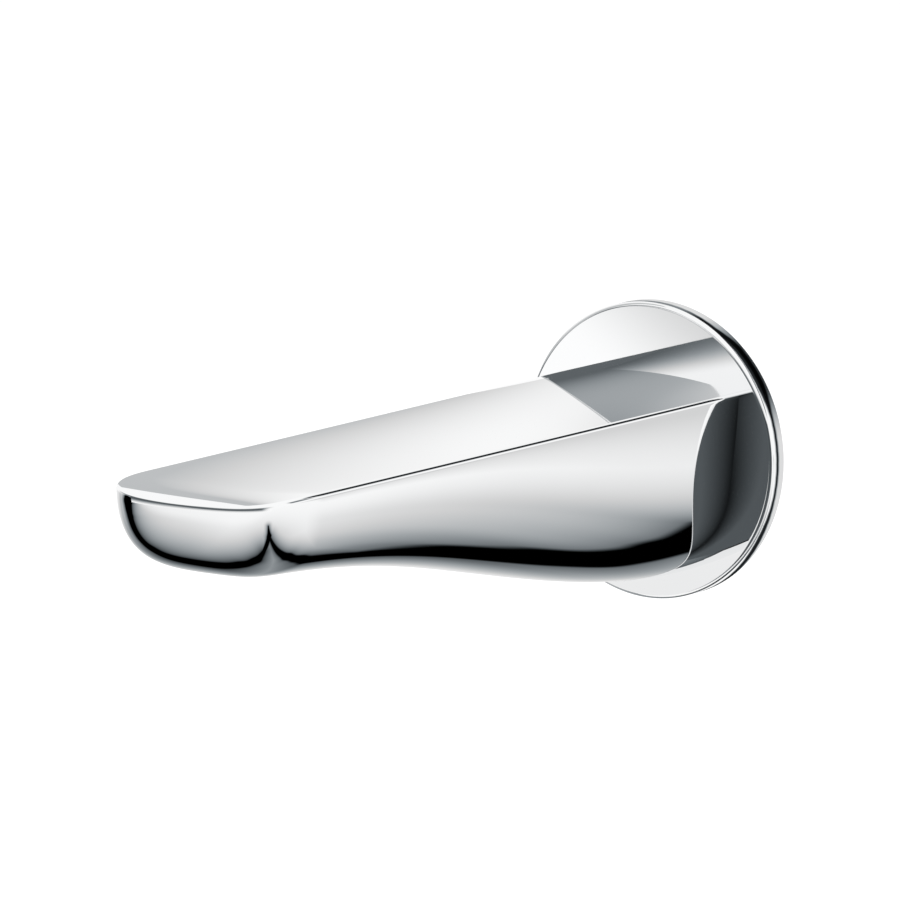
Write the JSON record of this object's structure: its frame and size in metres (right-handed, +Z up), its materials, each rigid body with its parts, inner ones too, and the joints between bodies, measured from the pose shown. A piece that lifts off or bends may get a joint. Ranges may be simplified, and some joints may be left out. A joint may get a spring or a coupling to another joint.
{
  "type": "bath spout",
  "caption": "Wall-mounted chrome bath spout with a flat deck, a boat-shaped underside and a round wall plate, fed through a threaded nipple and pouring down from under its nose.",
  "frame": {"origin": "middle of the wall plate on the wall plane, where the nipple's thread starts", "axes": "+Z up, +Y into the wall along the nipple's thread, the spout reaches out along -Y"},
  "size_m": [0.065, 0.187, 0.065],
  "materials": {
    "chrome": "polished chrome plate on brass",
    "satin_chrome": "satin chrome plate",
    "brass": "turned brass",
    "steel": "stainless steel",
    "rubber": "matt black rubber",
    "foam": "closed-cell foam",
    "grid_plastic": "moulded plastic"
  },
  "bodies": {
    "root": {"spout_body": "chrome", "escutcheon": "chrome", "escutcheon_seal": "foam", "wall_nipple": "brass", "o_ring_rear": "rubber", "o_ring_front": "rubber", "set_screw": "steel", "outlet_sleeve": "satin_chrome", "outlet_straightener": "grid_plastic", "outlet_washer": "rubber"}
  },
  "joints": []
}
